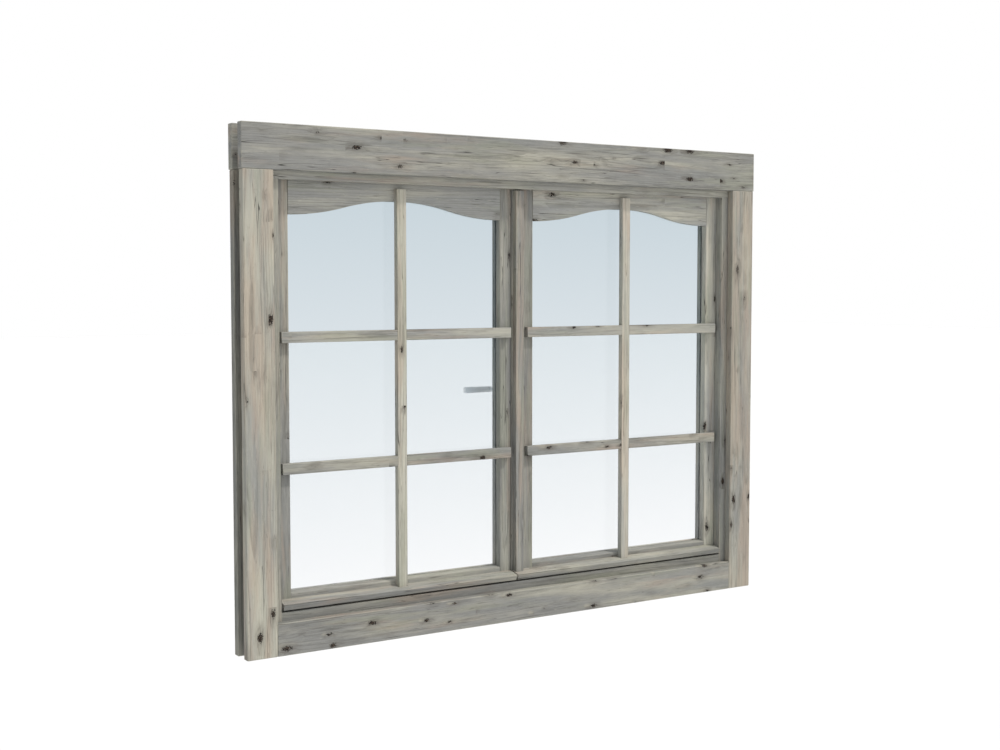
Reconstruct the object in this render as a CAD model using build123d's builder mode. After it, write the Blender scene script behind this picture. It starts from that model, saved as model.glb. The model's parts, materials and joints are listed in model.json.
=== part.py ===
from build123d import *
from math import cos, pi, radians, sin
import os

# A pair of inward-opening casement leaves in a timber frame that grips a log wall.
# X runs across the window, Y from outside to inside, Z up. The origin is the middle of the
# sill's underside, halfway through the wall.

# ---------------------------------------------------------------- driving dimensions, mm
WALL = 28.0  # thickness of the wall held between the architraves
CUTOUT_WIDTH = 1240.0
CUTOUT_HEIGHT = 948.0
MEMBER = 44.0  # face width of head, sill and jambs
STOP_DEPTH = 21.0  # depth of the outer stop that the leaves close against
REBATE = 15.0  # step behind the stop
SEAT_EASE = 0.5  # eased arris where the frame meets the cut-out

BOARD = 18.0  # thickness of the architrave boards
SIDE_BOARD = 65.0
TOP_BOARD = 90.0
BOTTOM_BOARD = 66.0
TRIM_WIDTH = 1317.0  # over the side boards
TRIM_BELOW = 40.0  # boards below the sill's underside
HORN = 2.0  # top board past each side board
HEAD_REVEAL = 16.0  # of the head's stop, left showing under the top board
BOARD_ROUND = 2.0

LEAF_THICK = 28.0
LEAF_GAP = 3.0  # clearance round a leaf in its rebate
STOP_GAP = 1.0  # between stop and leaf, closed by the weather seal
HINGE_STILE = 42.6
SIGHT_MEETING = 43.4  # glass edge beside the meeting line, from the window's middle
MEETING_LEFT = -15.8  # meeting edge of the left leaf
MEETING_RIGHT = -13.2  # meeting edge of the right leaf
EDGE_SPLAY = 1.0  # taper of a meeting edge towards the room
LEFT_SPLAY_DEPTH = 10.0  # behind the faceplate of the lock
ARCH_END = 79.6  # top rail's height at the stiles
ARCH_CROWN = 46.8  # top rail's height at the middle of the arch
BOTTOM_RAIL = 43.0
WEATHERING = 2.6  # rise of the bottom rail's top edge towards the glass
SIGHT_EASE = 1.5
ARCH_EASE = 0.8

TONGUE = 15.5  # wood in front of the glass
TAPE = 1.0
GLASS = 4.0
GLASS_REBATE = 10.0
GLASS_LAP = 8.0  # glass behind the tongue
TAPE_LAP = 7.0  # tape behind the tongue
TAPE_SET_BACK = 1.0  # tape back from the sight line
BEAD_EASE = 2.0
BEAD_NOSING = 7.0  # width of a bead's raised part beside the glass
BEAD_PROUD = 5.0  # raised part past the leaf's inner face
MITRE_GAP = 0.2  # between two beads at a corner
TENON_LENGTH = 14.0
TENON_THICK = 6.0
TENON_FIT = 0.1
TENON_HEIGHT = 26.0
TENON_INSET = 10.0  # tenon from the leaf's outer edge
TENON_SET_BACK = 3.0  # tenon behind the leaf's outer face

BAR_WIDTH = 22.0
BAR_THICK = 12.5
BAR_ROUND = 1.2
BAR_LAP = 21.4  # bar over the face of a stile
BAR_HEIGHTS = (592.0, 328.6)
BAR_TOP = 894.0
FOOT_GAP = 0.1  # under the scribed foot of a bar
ASTRAGAL_MIDDLE = 1.0
ASTRAGAL_WIDTH = 21.0

DRIP_TOP = 65.0
DRIP_NOSE_TOP = 58.6
DRIP_BOTTOM = 47.3
DRIP_REACH = 28.5  # nose in front of the leaf
DRIP_RAKE = 4.4  # nose leans back at its foot
DRIP_HINGE_END = 573.3
DRIP_LEFT_END = -16.2
DRIP_RIGHT_END = -12.4
THROAT_R = 2.0
THROAT_INSET = 6.0  # throat behind the nose's foot
NOSE_ROUND = 1.2

HINGE_X = 590.75
HINGE_RISE = 5.0  # hinge axis behind the leaf's inner face
HINGE_HEIGHTS = (170.0, 778.0)
KNUCKLE_R = 4.5
HINGE_PIN_R = 2.5
HINGE_PLAY = 0.05
HINGE_HEIGHT = 70.0
KNUCKLES = 5
KNUCKLE_GAP = 0.3
PLATE = 2.0
PLATE_WIDTH = 19.0
FRAME_PLATE_INSET = 7.0  # frame's plate outside the hinge axis
LEAF_PLATE_GAP = 0.6  # between a leaf's plate and the knuckles
ARM_DROP = 1.0  # frame's hinge arms in front of the axis
PIN_CAP = 2.0
PIN_CAP_R = 3.7

SPINDLE_X = -26.5
SPINDLE_Z = 464.0
SPINDLE = 5.0  # square
SPINDLE_HOLE_R = 4.6
SPINDLE_REACH = 25.0  # spindle past the leaf's inner face
GEAR_Y = 17.0  # mid-plane of rods and pinion
GEAR_THICK = 5.5
TEETH = 12
MODULE = 0.9
TOOTH_RISE = 0.7  # teeth past the pitch line
TOOTH_TIP = 0.35  # half width of a tooth's tip
RACK_DROP = 1.1  # rack's teeth behind the pitch line, down to the rod
RACK_ROOT = 0.95  # half width of a rack's tooth at its root
PINION_DROP = 1.4
PINION_ROOT = 0.85
PINION_BODY = 1.0  # pinion's round body inside the pitch circle
PINION_HUB_R = 4.3
RACK_COUNT = 4  # teeth on each side of a rack's middle
RACK_REACH = 17.0  # rod past the spindle's height
ROD_THICK = 2.2
ROD_PLAY = 0.3  # round a rod in its channel, across the leaf
CHANNEL_PLAY = 0.35  # the same through the leaf
RACK_BACK_GAP = 1.0  # lower rod's back behind its pitch line
LINK_HEIGHT = 6.0  # cross-piece of the lower rod
LINK_DROP = 26.0  # its foot under the spindle
CASE_BELOW = 40.0  # lock case under the spindle
CASE_ABOVE = 26.0
CASE_WALL = 1.1
CASE_DEPTH = 9.0
CASE_BACK = 1.5  # lock case behind the lower rod
CASE_BORE_R = 4.35
ROD_SET_BACK = 0.5  # rod ends inside the leaf when unlocked
FACEPLATE = 1.8
FACEPLATE_WIDTH = 15.0

LEVER_LENGTH = 68.5  # from the spindle to the free end
LEVER_HEIGHT = 13.0
LEVER_THICK = 10.0
LEVER_REACH = 37.0  # lever's mid-plane behind the leaf's inner face
LEVER_TAPER = 0.3  # lever's edges, in at the neck and out at the free end
LEVER_END_ROUND = 2.5
LEVER_BACK_ROUND = 2.0
LEVER_FRONT_ROUND = 1.5
NECK_R = 6.0
NECK_GAP = 1.0  # neck clear of the leaf's inner face
NECK_SINK = 3.0  # neck into the lever
COLLAR_R = 8.0
COLLAR_HEIGHT = 4.0
COLLAR_GAP = 0.4  # collar clear of the rosette
SLIDE_PLAY = 0.06  # round a neck or bolt in its guide

BOLT_X = 8.0
BOLT_R = 4.0
BOLT_LENGTH = 112.0
BOLT_THROW = 16.0
BOLT_STAND_OFF = 6.5  # bolt's axis behind the leaf's inner face
BOLT_SET_BACK = 2.0  # bolt end inside the leaf when drawn

PAST = 1.0  # cutters run this far past the faces they cut

# ---------------------------------------------------------------- derived positions
PITCH_R = MODULE * TEETH / 2
PITCH = pi * MODULE

half_cutout = CUTOUT_WIDTH / 2
half_light = half_cutout - MEMBER  # inner edge of the jambs' stop
half_trim = TRIM_WIDTH / 2
half_rebate = half_light + REBATE
half_leaf = half_rebate - LEAF_GAP

y_outer = -WALL / 2 - BOARD
y_frame_out = -WALL / 2
y_frame_in = WALL / 2
y_inner = WALL / 2 + BOARD
y_stop = y_frame_out + STOP_DEPTH
y_leaf = y_stop + STOP_GAP
y_tongue = y_leaf + TONGUE
y_glass = y_tongue + TAPE
y_bead = y_glass + GLASS
y_leaf_in = y_leaf + LEAF_THICK
y_bar = y_leaf - BAR_THICK
y_hinge = y_leaf_in + HINGE_RISE

z_head_stop = CUTOUT_HEIGHT - MEMBER
z_head_seat = z_head_stop + REBATE
z_sill_seat = MEMBER - REBATE
z_leaf_low = z_sill_seat + LEAF_GAP
z_leaf_high = z_head_seat - LEAF_GAP
z_trim_low = -TRIM_BELOW
z_trim_high = z_head_stop + HEAD_REVEAL + TOP_BOARD
z_top_board = z_trim_high - TOP_BOARD
z_bottom_board = z_trim_low + BOTTOM_BOARD

sight_hinge = half_leaf - HINGE_STILE  # glass edge beside the hinge stile
z_arch_end = z_leaf_high - ARCH_END
z_arch_crown = z_leaf_high - ARCH_CROWN
z_sight_low = z_leaf_low + BOTTOM_RAIL + WEATHERING  # bottom sight line at the glass
leaf_middle = (sight_hinge + SIGHT_MEETING) / 2

x_edge = MEETING_LEFT  # face of the lock's faceplate
x_rod_out = x_edge - FACEPLATE - ROD_PLAY
x_rod_in = x_rod_out - ROD_THICK
z_gear_low = SPINDLE_Z - CASE_BELOW
z_gear_high = SPINDLE_Z + CASE_ABOVE

os.makedirs("parts", exist_ok=True)


# ---------------------------------------------------------------- helpers
def save(builder, label):
    """Labels a finished piece and writes its STEP file."""
    builder.part.label = label
    export_step(builder.part, f"parts/{label}.step")


def block(x, y, z, mode=Mode.ADD):
    """A box between two limits on each axis, combined with the piece being built."""
    middle = ((x[0] + x[1]) / 2, (y[0] + y[1]) / 2, (z[0] + z[1]) / 2)
    with Locations(middle):
        Box(abs(x[1] - x[0]), abs(y[1] - y[0]), abs(z[1] - z[0]), mode=mode)


def outline(plane, points):
    """A closed straight-sided face on a plane."""
    with BuildSketch(plane) as face:
        with BuildLine():
            Polyline(*points, close=True)
        make_face()
    return face.sketch


def rod_along(direction, start, radius, length, mode=Mode.ADD):
    """A round bar from a point along a direction."""
    with Locations(Plane(origin=start, z_dir=direction).location):
        Cylinder(radius, length, align=(Align.CENTER, Align.CENTER, Align.MIN), mode=mode)


def wood_screw(radius, length, recess=True):
    """A countersunk screw standing on its head's face at the origin, point towards +Z."""
    head = radius * 2.0
    with BuildPart() as screw:
        Cylinder(radius, length, align=(Align.CENTER, Align.CENTER, Align.MIN))
        Cone(head, radius, head - radius, align=(Align.CENTER, Align.CENTER, Align.MIN))
        if recess:
            for turn in (0, 90):
                with Locations(Location((0, 0, 0), (0, 0, turn))):
                    Box(
                        radius * 2.2,
                        radius * 0.45,
                        radius * 1.2,
                        align=(Align.CENTER, Align.CENTER, Align.MIN),
                        mode=Mode.SUBTRACT,
                    )
    return screw.part


def screws_at(places, direction, radius, length, recess=True):
    """Copies of one screw, heads at the places, points along the direction."""
    screw = wood_screw(radius, length, recess)
    return [Plane(origin=place, z_dir=direction).location * screw for place in places]


def cut_screws(group):
    """Cuts the screws' own shape out of the piece being built."""
    for places, direction, radius, length in group:
        add(screws_at(places, direction, radius, length, recess=False), mode=Mode.SUBTRACT)


def save_screws(group, label):
    """Writes one node that holds every screw of the group as a separate solid."""
    with BuildPart() as screws:
        for places, direction, radius, length in group:
            add(screws_at(places, direction, radius, length))
    save(screws, label)


# ---------------------------------------------------------------- screws of the fixed frame
CORNER_SCREW = (2.5, 80.0)  # radius and length, as for every screw below
OUTER_SCREW = (1.75, 40.0)
INNER_SCREW = (2.0, 40.0)
HINGE_SCREW = (1.75, 18.0)
STRIKE_SCREW = (1.25, 14.0)
KEEP_SCREW = (1.5, 16.0)
HINGE_SCREW_RISES = (-20.0, 0.0, 20.0)
CORNER_SCREW_SHIFTS = (-7.0, 7.0)  # from the middle of the wall
SILL_SCREW_RISE = 14.0
HEAD_SCREW_X = 606.0

corner_screws = [
    (
        [(side * half_cutout, y, SILL_SCREW_RISE) for y in CORNER_SCREW_SHIFTS],
        (-side, 0, 0),
        *CORNER_SCREW,
    )
    for side in (-1, 1)
] + [
    (
        [
            (side * HEAD_SCREW_X, y, CUTOUT_HEIGHT)
            for side in (-1, 1)
            for y in CORNER_SCREW_SHIFTS
        ],
        (0, 0, -1),
        *CORNER_SCREW,
    )
]

outer_screw_heights = (120.0, 400.0, 640.0, 850.0)
inner_screw_heights = (60.0, 320.0, 580.0, 880.0)
rail_screw_places = (-480.0, -160.0, 160.0, 480.0)
RAIL_SCREW_SHIFT = 40.0  # inner boards' screws past the outer boards' ones
outer_screw_x = 604.0
inner_screw_x = 612.0
z_screw_head = z_head_stop + 24.0
z_screw_sill = 18.0
z_inner_screw_high = z_top_board + 14.0
z_inner_screw_low = 12.0
outer_board_screws = [
    (
        [(side * outer_screw_x, y_frame_in, z) for side in (-1, 1) for z in outer_screw_heights]
        + [(x, y_frame_in, z) for x in rail_screw_places for z in (z_screw_head, z_screw_sill)],
        (0, -1, 0),
        *OUTER_SCREW,
    )
]
inner_board_screws = [
    (
        [(side * inner_screw_x, y_inner, z) for side in (-1, 1) for z in inner_screw_heights]
        + [(x + RAIL_SCREW_SHIFT, y_inner, z_inner_screw_high) for x in rail_screw_places]
        + [(x + RAIL_SCREW_SHIFT, y_inner, z_inner_screw_low) for x in rail_screw_places],
        (0, -1, 0),
        *INNER_SCREW,
    )
]

# Hinge plates: the frame's plates step down to the inner boards, the leaves' lie on the stiles.
x_frame_plate = HINGE_X + FRAME_PLATE_INSET
x_frame_screw = x_frame_plate + 10.0  # middle of the plate's flat part
x_leaf_plate = HINGE_X - KNUCKLE_R - LEAF_PLATE_GAP
frame_hinge_screws = [
    (
        [
            (side * x_frame_screw, y_inner + PLATE, z + rise)
            for side in (-1, 1)
            for z in HINGE_HEIGHTS
            for rise in HINGE_SCREW_RISES
        ],
        (0, -1, 0),
        *HINGE_SCREW,
    )
]

# Strike plates of the edge rods, and keeps of the right leaf's bolts.
x_rod = (x_rod_in + x_rod_out) / 2
STRIKE = (26.0, 11.0, 2.0)
STRIKE_SLOT = (6.0, 7.5)
STRIKE_SHIFT = 2.5  # strike plate's middle behind the rods
STRIKE_SCREW_SHIFT = 3.0  # its screws behind the rods
STRIKE_SCREW_X = 9.0  # its screws from its middle
POCKET_DEPTH = 9.0  # mortise behind a strike plate
strikes = (
    (z_top_board - STRIKE[2], z_top_board, -1),
    (z_bottom_board, z_bottom_board + STRIKE[2], 1),
)
strike_screws = [
    (
        [
            (x_rod + shift, GEAR_Y + STRIKE_SCREW_SHIFT, high if facing > 0 else low)
            for shift in (-STRIKE_SCREW_X, STRIKE_SCREW_X)
        ],
        (0, 0, -facing),
        *STRIKE_SCREW,
    )
    for low, high, facing in strikes
]

KEEP = (30.0, 1.5, 16.0)
KEEP_BLOCK = 16.0
KEEP_WALL = 2.5
KEEP_ROUND = 3.0
KEEP_PLAY = 0.5
KEEP_SCREW_X = 11.5
KEEP_INSET = 2.0  # keep from its board's edge
y_bolt = y_leaf_in + BOLT_STAND_OFF
keep_heights = (z_top_board + KEEP_INSET, z_bottom_board - KEEP_INSET - KEEP[2])
keep_screws = [
    (
        [
            (BOLT_X + shift, y_inner + KEEP[1], z + KEEP[2] / 2)
            for z in keep_heights
            for shift in (-KEEP_SCREW_X, KEEP_SCREW_X)
        ],
        (0, -1, 0),
        *KEEP_SCREW,
    )
]
frame_hardware_screws = frame_hinge_screws + strike_screws + keep_screws

# ---------------------------------------------------------------- fixed frame
SEAL_WIDTH = 4.0
SEAL_DEPTH = 4.0
SEAL_PROUD = 0.7
SEAL_INSET = 8.0  # seal's outer edge from the stop's edge
seal_out = half_light + SEAL_INSET
seal_top = z_head_stop + SEAL_INSET
seal_bottom = MEMBER - SEAL_INSET


def seal_ring(y_low, y_high, mode=Mode.ADD):
    """The rectangular run of the weather seal, or the groove for it."""
    width = 2 * seal_out
    height = seal_top - seal_bottom
    middle = (seal_top + seal_bottom) / 2
    with BuildSketch(Plane.XZ.offset(-y_low)) as ring:
        with Locations((0, middle)):
            Rectangle(width, height)
            Rectangle(width - 2 * SEAL_WIDTH, height - 2 * SEAL_WIDTH, mode=Mode.SUBTRACT)
    extrude(ring.sketch, amount=y_low - y_high, mode=mode)


def ease_seat(piece, direction):
    """Eases the two long arrises of a frame member where it meets the cut-out."""
    seat = piece.faces().sort_by(direction)[-1]
    long_edges = seat.edges().filter_by(Axis.Y, reverse=True)
    run = Axis.Z if direction is Axis.X else Axis.X
    chamfer(long_edges.filter_by(run), SEAT_EASE)


with BuildPart() as frame_head:
    block((-half_cutout, half_cutout), (y_frame_out, y_stop), (z_head_stop, CUTOUT_HEIGHT))
    block((-half_cutout, half_cutout), (y_stop, y_frame_in), (z_head_seat, CUTOUT_HEIGHT))
    ease_seat(frame_head, Axis.Z)
    seal_ring(y_stop - SEAL_DEPTH, y_stop, mode=Mode.SUBTRACT)
    cut_screws(corner_screws + outer_board_screws + inner_board_screws)
save(frame_head, "frame_head")

SILL_FALL = 2.0  # slope on top of the sill's stop, draining outwards
with BuildPart() as frame_sill:
    extrude(
        outline(
            Plane.YZ.offset(-half_light),
            [
                (y_frame_out, 0),
                (y_frame_out, MEMBER - SILL_FALL / 2),
                (y_stop, MEMBER + SILL_FALL / 2),
                (y_stop, 0),
            ],
        ),
        amount=2 * half_light,
    )
    block((-half_rebate, half_rebate), (y_stop, y_frame_in), (0, z_sill_seat))
    lowest = frame_sill.edges().filter_by(Axis.X).group_by(Axis.Z)[0]
    chamfer(lowest.group_by(Axis.Y)[0] + lowest.group_by(Axis.Y)[-1], SEAT_EASE)
    seal_ring(y_stop - SEAL_DEPTH, y_stop, mode=Mode.SUBTRACT)
    cut_screws(corner_screws + outer_board_screws + inner_board_screws)
save(frame_sill, "frame_sill")


def build_jamb(side, label):
    """A jamb: under the head, outside the sill's ends. side is -1 left, +1 right."""
    with BuildPart() as jamb:
        block((side * half_cutout, side * half_light), (y_frame_out, y_stop), (0, z_head_stop))
        block((side * half_cutout, side * half_rebate), (y_stop, y_frame_in), (0, z_head_seat))
        outer_edges = jamb.edges().filter_by(Axis.Z).group_by(Axis.X)[0 if side < 0 else -1]
        chamfer(outer_edges.group_by(Axis.Y)[0] + outer_edges.group_by(Axis.Y)[-1], SEAT_EASE)
        seal_ring(y_stop - SEAL_DEPTH, y_stop, mode=Mode.SUBTRACT)
        cut_screws(corner_screws + outer_board_screws + inner_board_screws)
    save(jamb, label)


build_jamb(-1, "frame_jamb_left")
build_jamb(1, "frame_jamb_right")
save_screws(corner_screws, "frame_corner_screws")

with BuildPart() as weather_seal:
    seal_ring(y_stop - SEAL_DEPTH, y_stop + SEAL_PROUD)
save(weather_seal, "weather_seal")


# ---------------------------------------------------------------- architraves
def build_board(label, x, y, z, screws, pockets=()):
    """One architrave board with rounded arrises, screw holes and any pockets for bolts."""
    with BuildPart() as board:
        block(x, y, z)
        fillet(board.edges(), BOARD_ROUND)
        for pocket in pockets:
            block(*pocket, mode=Mode.SUBTRACT)
        cut_screws(screws)
    save(board, label)


def rod_pocket(low, high):
    """The mortise behind a strike plate."""
    return (
        (x_rod - STRIKE_SLOT[0] / 2, x_rod + STRIKE_SLOT[0] / 2),
        (GEAR_Y - STRIKE_SLOT[1] / 2, GEAR_Y + STRIKE_SLOT[1] / 2),
        (low, high),
    )


for layer, depth in (("outer", (y_outer, y_frame_out)), ("inner", (y_frame_in, y_inner))):
    inside = layer == "inner"
    fixings = inner_board_screws + frame_hardware_screws if inside else outer_board_screws
    pocket_top = [rod_pocket(z_top_board - PAST, z_top_board + POCKET_DEPTH)] if inside else []
    pocket_low = [rod_pocket(z_bottom_board - POCKET_DEPTH, z_bottom_board + PAST)] if inside else []
    wide = half_trim + HORN
    inner_edge = half_trim - SIDE_BOARD
    build_board(
        f"{layer}_board_top", (-wide, wide), depth, (z_top_board, z_trim_high), fixings, pocket_top
    )
    build_board(
        f"{layer}_board_bottom",
        (-inner_edge, inner_edge),
        depth,
        (z_trim_low, z_bottom_board),
        fixings,
        pocket_low,
    )
    for side, hand in ((-1, "left"), (1, "right")):
        build_board(
            f"{layer}_board_{hand}",
            (side * inner_edge, side * half_trim),
            depth,
            (z_trim_low, z_top_board),
            fixings,
        )
save_screws(outer_board_screws, "outer_board_screws")
save_screws(inner_board_screws, "inner_board_screws")


# ---------------------------------------------------------------- hinges
def knuckle_spans(middle, owner):
    """Height spans of the knuckles that belong to the frame (0) or to the leaf (1)."""
    step = HINGE_HEIGHT / KNUCKLES
    low = middle - HINGE_HEIGHT / 2
    return [
        (low + i * step + KNUCKLE_GAP / 2, low + (i + 1) * step - KNUCKLE_GAP / 2)
        for i in range(KNUCKLES)
        if i % 2 == owner
    ]


def hinge_half(side, middle, owner):
    """One half of a hinge: knuckles on the axis and a plate, stepped on the frame's half."""
    bore = HINGE_PIN_R + (HINGE_PLAY if owner else 0.0)
    y_plate = y_leaf_in if owner else y_inner
    if owner:
        flat = (side * (x_leaf_plate - PLATE_WIDTH), side * x_leaf_plate)
    else:
        flat = (side * x_frame_plate, side * (x_frame_plate + PLATE_WIDTH))
    span = (middle - HINGE_HEIGHT / 2, middle + HINGE_HEIGHT / 2)
    with BuildPart() as half:
        block(flat, (y_plate, y_plate + PLATE), span)
        if not owner:
            riser = (side * (x_frame_plate - PLATE), side * x_frame_plate)
            block(riser, (y_plate, y_hinge - ARM_DROP), span)
        for low, high in knuckle_spans(middle, owner):
            rod_along((0, 0, 1), (side * HINGE_X, y_hinge, low), KNUCKLE_R, high - low)
            if owner:
                block((flat[1], side * HINGE_X), (y_plate, y_plate + PLATE), (low, high))
            else:
                arm = (side * (x_frame_plate - PLATE), side * HINGE_X)
                block(arm, (y_hinge - ARM_DROP - PLATE, y_hinge - ARM_DROP), (low, high))
        rod_along(
            (0, 0, 1),
            (side * HINGE_X, y_hinge, span[0]),
            bore,
            HINGE_HEIGHT,
            mode=Mode.SUBTRACT,
        )
        if owner:
            cut_screws(leaf_hinge_screws(side))
        else:
            cut_screws(frame_hinge_screws)
    return half.part


def leaf_hinge_screws(side):
    """Screws of the leaf's hinge plates."""
    x = side * (x_leaf_plate - PLATE_WIDTH / 2)
    places = [
        (x, y_leaf_in + PLATE, z + rise) for z in HINGE_HEIGHTS for rise in HINGE_SCREW_RISES
    ]
    return [(places, (0, -1, 0), *HINGE_SCREW)]


with BuildPart() as hinge_frame_plates:
    for side in (-1, 1):
        for middle in HINGE_HEIGHTS:
            add(hinge_half(side, middle, 0))
save(hinge_frame_plates, "hinge_frame_plates")

with BuildPart() as hinge_pins:
    for side in (-1, 1):
        for middle in HINGE_HEIGHTS:
            low = middle - HINGE_HEIGHT / 2
            rod_along((0, 0, 1), (side * HINGE_X, y_hinge, low), HINGE_PIN_R, HINGE_HEIGHT)
            for end in (low - PIN_CAP, low + HINGE_HEIGHT):
                rod_along((0, 0, 1), (side * HINGE_X, y_hinge, end), PIN_CAP_R, PIN_CAP)
save(hinge_pins, "hinge_pins")

with BuildPart() as rod_strikes:
    for low, high, facing in strikes:
        block(
            (x_rod - STRIKE[0] / 2, x_rod + STRIKE[0] / 2),
            (GEAR_Y + STRIKE_SHIFT - STRIKE[1] / 2, GEAR_Y + STRIKE_SHIFT + STRIKE[1] / 2),
            (low, high),
        )
        block(*rod_pocket(low, high), mode=Mode.SUBTRACT)
    cut_screws(strike_screws)
save(rod_strikes, "rod_strikes")

with BuildPart() as bolt_keeps:
    for z in keep_heights:
        block(
            (BOLT_X - KEEP[0] / 2, BOLT_X + KEEP[0] / 2),
            (y_inner, y_inner + KEEP[1]),
            (z, z + KEEP[2]),
        )
        block(
            (BOLT_X - KEEP_BLOCK / 2, BOLT_X + KEEP_BLOCK / 2),
            (y_inner, y_bolt + BOLT_R + KEEP_WALL),
            (z, z + KEEP[2]),
        )
    fillet(bolt_keeps.edges().filter_by(Axis.Z).group_by(Axis.Y)[-1], KEEP_ROUND)
    for z in keep_heights:
        hole_r = BOLT_R + KEEP_PLAY
        rod_along((0, 0, 1), (BOLT_X, y_bolt, z), hole_r, KEEP[2], mode=Mode.SUBTRACT)
    cut_screws(keep_screws)
save(bolt_keeps, "bolt_keeps")
save_screws(frame_hardware_screws, "frame_hardware_screws")

# ---------------------------------------------------------------- lock in the left leaf
case_y = (GEAR_Y - CASE_DEPTH / 2, GEAR_Y + CASE_DEPTH / 2)
case_x = (SPINDLE_X - PITCH_R - RACK_BACK_GAP - ROD_THICK - CASE_BACK, x_edge - FACEPLATE)
channel_y = (GEAR_Y - GEAR_THICK / 2 - CHANNEL_PLAY, GEAR_Y + GEAR_THICK / 2 + CHANNEL_PLAY)
channel_x = (x_rod_in - ROD_PLAY, x_edge - FACEPLATE)
plate_y = (GEAR_Y - FACEPLATE_WIDTH / 2, GEAR_Y + FACEPLATE_WIDTH / 2)
FACEPLATE_SCREW = (0.9, 14.0)
FACEPLATE_SCREW_PLACES = ((-5.6, 90.0), (5.6, 330.0), (-5.6, 600.0), (5.6, 860.0))
faceplate_screws = [
    (
        [
            (x_edge, GEAR_Y + offset, z)
            for offset, z in FACEPLATE_SCREW_PLACES
        ],
        (-1, 0, 0),
        *FACEPLATE_SCREW,
    )
]
ROSETTE = (18.0, 62.0, 6.0)
ROSETTE_ROUND = 1.5
ROSETTE_SCREW = (1.6, 18.0)
ROSETTE_SCREW_RISES = (-22.0, 22.0)
rosette_screws = [
    (
        [(SPINDLE_X, y_leaf_in + ROSETTE[2], SPINDLE_Z + rise) for rise in ROSETTE_SCREW_RISES],
        (0, -1, 0),
        *ROSETTE_SCREW,
    )
]


def rack_teeth(pitch_line, facing, middle, count):
    """Rack teeth along Z, pointing along facing (+1 or -1) in X, with a gap on the middle."""
    for i in range(-count, count):
        z = middle + (i + 0.5) * PITCH
        tooth = outline(
            Plane.XZ.offset(-(GEAR_Y - GEAR_THICK / 2)),
            [
                (pitch_line - facing * RACK_DROP, z - RACK_ROOT),
                (pitch_line + facing * TOOTH_RISE, z - TOOTH_TIP),
                (pitch_line + facing * TOOTH_RISE, z + TOOTH_TIP),
                (pitch_line - facing * RACK_DROP, z + RACK_ROOT),
            ],
        )
        extrude(tooth, amount=-GEAR_THICK)


with BuildPart() as espagnolette_case:
    block(case_x, case_y, (z_gear_low, z_gear_high))
    block(
        (case_x[0] + CASE_WALL, case_x[1] + PAST),
        (case_y[0] + CASE_WALL, case_y[1] - CASE_WALL),
        (z_gear_low + CASE_WALL, z_gear_high - CASE_WALL),
        mode=Mode.SUBTRACT,
    )
    block(channel_x, channel_y, (z_gear_low - PAST, z_gear_high + PAST), mode=Mode.SUBTRACT)
    rod_along(
        (0, 1, 0),
        (SPINDLE_X, case_y[0] - PAST, SPINDLE_Z),
        CASE_BORE_R,
        CASE_DEPTH + 2 * PAST,
        mode=Mode.SUBTRACT,
    )
save(espagnolette_case, "espagnolette_case")

with BuildPart() as espagnolette_faceplate:
    block((x_edge - FACEPLATE, x_edge), plate_y, (z_leaf_low, z_leaf_high))
    cut_screws(faceplate_screws)
save(espagnolette_faceplate, "espagnolette_faceplate")

with BuildPart() as espagnolette_pinion:
    with BuildSketch(Plane.XZ.offset(-(GEAR_Y - GEAR_THICK / 2))) as pinion_face:
        with Locations((SPINDLE_X, SPINDLE_Z)):
            Circle(PITCH_R - PINION_BODY)
        for i in range(TEETH):
            turn = radians(360 / TEETH * i)
            with BuildLine():
                Polyline(
                    *[
                        (
                            SPINDLE_X + r * cos(turn) - s * sin(turn),
                            SPINDLE_Z + r * sin(turn) + s * cos(turn),
                        )
                        for r, s in (
                            (PITCH_R - PINION_DROP, -PINION_ROOT),
                            (PITCH_R + TOOTH_RISE, -TOOTH_TIP),
                            (PITCH_R + TOOTH_RISE, TOOTH_TIP),
                            (PITCH_R - PINION_DROP, PINION_ROOT),
                        )
                    ],
                    close=True,
                )
            make_face()
    extrude(amount=-GEAR_THICK)
    rod_along(
        (0, 1, 0), (SPINDLE_X, case_y[0], SPINDLE_Z), PINION_HUB_R, case_y[1] - case_y[0]
    )
    block(
        (SPINDLE_X - SPINDLE / 2, SPINDLE_X + SPINDLE / 2),
        (case_y[0] - PAST, case_y[1] + PAST),
        (SPINDLE_Z - SPINDLE / 2, SPINDLE_Z + SPINDLE / 2),
        mode=Mode.SUBTRACT,
    )
save(espagnolette_pinion, "espagnolette_pinion")

rod_y = (GEAR_Y - GEAR_THICK / 2, GEAR_Y + GEAR_THICK / 2)
rack_right = SPINDLE_X + PITCH_R
rack_left = SPINDLE_X - PITCH_R
with BuildPart() as rod_upper:
    block((x_rod_in, x_rod_out), rod_y, (SPINDLE_Z - RACK_REACH, z_leaf_high - ROD_SET_BACK))
    rack_teeth(rack_right, -1, SPINDLE_Z - 2 * PITCH, RACK_COUNT)
save(rod_upper, "rod_upper")

z_link = SPINDLE_Z - LINK_DROP
with BuildPart() as rod_lower:
    rack_back = (rack_left - RACK_BACK_GAP - ROD_THICK, rack_left - RACK_BACK_GAP)
    block(rack_back, rod_y, (z_link, SPINDLE_Z + RACK_REACH))
    block((rack_back[0], x_rod_out), rod_y, (z_link, z_link + LINK_HEIGHT))
    block((x_rod_in, x_rod_out), rod_y, (z_leaf_low + ROD_SET_BACK, z_link + LINK_HEIGHT))
    rack_teeth(rack_left, 1, SPINDLE_Z + 2 * PITCH, RACK_COUNT)
save(rod_lower, "rod_lower")

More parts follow.
